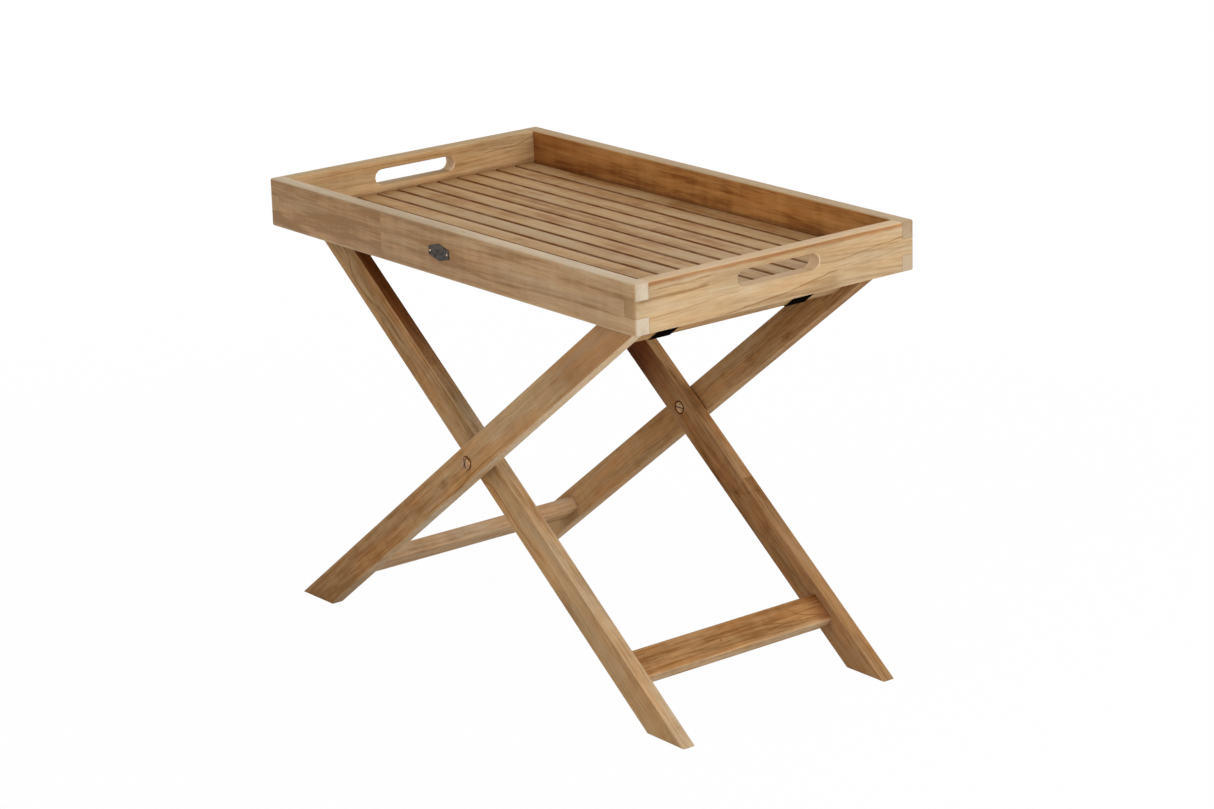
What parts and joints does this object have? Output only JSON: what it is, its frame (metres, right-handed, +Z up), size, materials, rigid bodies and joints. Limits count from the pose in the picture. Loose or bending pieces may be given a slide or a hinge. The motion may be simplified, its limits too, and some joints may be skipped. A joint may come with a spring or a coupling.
{
  "type": "serving table",
  "caption": "Slatted wooden tray with handle slots and box-jointed corners, lying loose on a folding X-frame stand with webbing straps.",
  "frame": {"origin": "on the floor under the middle of the table, below the axis of the pivots", "axes": "+Z up, +X along the tray's length towards the end over the outer frame's top rail, -Y the front"},
  "size_m": [0.744, 0.42, 0.556],
  "materials": {
    "long_rail_teak": "oiled teak, brown",
    "end_rail_teak": "oiled teak, honey",
    "slat_teak": "oiled teak, pale",
    "stand_teak": "oiled teak",
    "webbing": "woven black webbing",
    "pivot_brass": "satin",
    "tack_steel": "satin"
  },
  "bodies": {
    "outer_frame": {"leg_outer_front": "stand_teak", "leg_outer_rear": "stand_teak", "top_rail_outer": "stand_teak", "stretcher_outer": "stand_teak", "strap_wrap_outer_front": "webbing", "strap_wrap_outer_rear": "webbing", "strap_tack_outer_1": "tack_steel", "strap_tack_outer_2": "tack_steel", "strap_tack_outer_3": "tack_steel", "strap_tack_outer_4": "tack_steel", "strap_span_front": "webbing", "strap_span_rear": "webbing", "pivot_bolt_front": "pivot_brass", "pivot_bolt_rear": "pivot_brass", "pivot_nut_front": "pivot_brass", "pivot_nut_rear": "pivot_brass", "pivot_washer_front": "pivot_brass", "pivot_washer_rear": "pivot_brass"},
    "inner_frame": {"leg_inner_front": "stand_teak", "leg_inner_rear": "stand_teak", "top_rail_inner": "stand_teak", "stretcher_inner": "stand_teak", "strap_wrap_inner_front": "webbing", "strap_wrap_inner_rear": "webbing", "strap_tack_inner_1": "tack_steel", "strap_tack_inner_2": "tack_steel", "strap_tack_inner_3": "tack_steel", "strap_tack_inner_4": "tack_steel"},
    "tray": {"tray_rail_front": "long_rail_teak", "tray_rail_back": "long_rail_teak", "tray_rail_left": "end_rail_teak", "tray_rail_right": "end_rail_teak", "slat_01": "slat_teak", "slat_02": "slat_teak", "slat_03": "slat_teak", "slat_04": "slat_teak", "slat_05": "slat_teak", "slat_06": "slat_teak", "slat_07": "slat_teak", "slat_08": "slat_teak", "slat_09": "slat_teak", "slat_10": "slat_teak", "slat_11": "slat_teak", "slat_12": "slat_teak", "floor_batten_left": "slat_teak", "floor_batten_middle": "slat_teak", "floor_batten_right": "slat_teak"}
  },
  "joints": [
    {"name": "fold", "type": "hinge", "parent": "outer_frame", "child": "inner_frame", "pos_m": [0, 0, 0.2616], "axis": [0, 1, 0], "range_deg": [0, 98], "deforming": ["strap_span_front", "strap_span_rear"]},
    {"name": "tray_lift", "type": "slide", "parent": "outer_frame", "child": "tray", "axis": [0, 0, 1], "range_m": [0, 0.616]}
  ],
  "couplings": [
    {"joint": "tray_lift", "follows": "fold", "m_per_rad": 0.36}
  ]
}
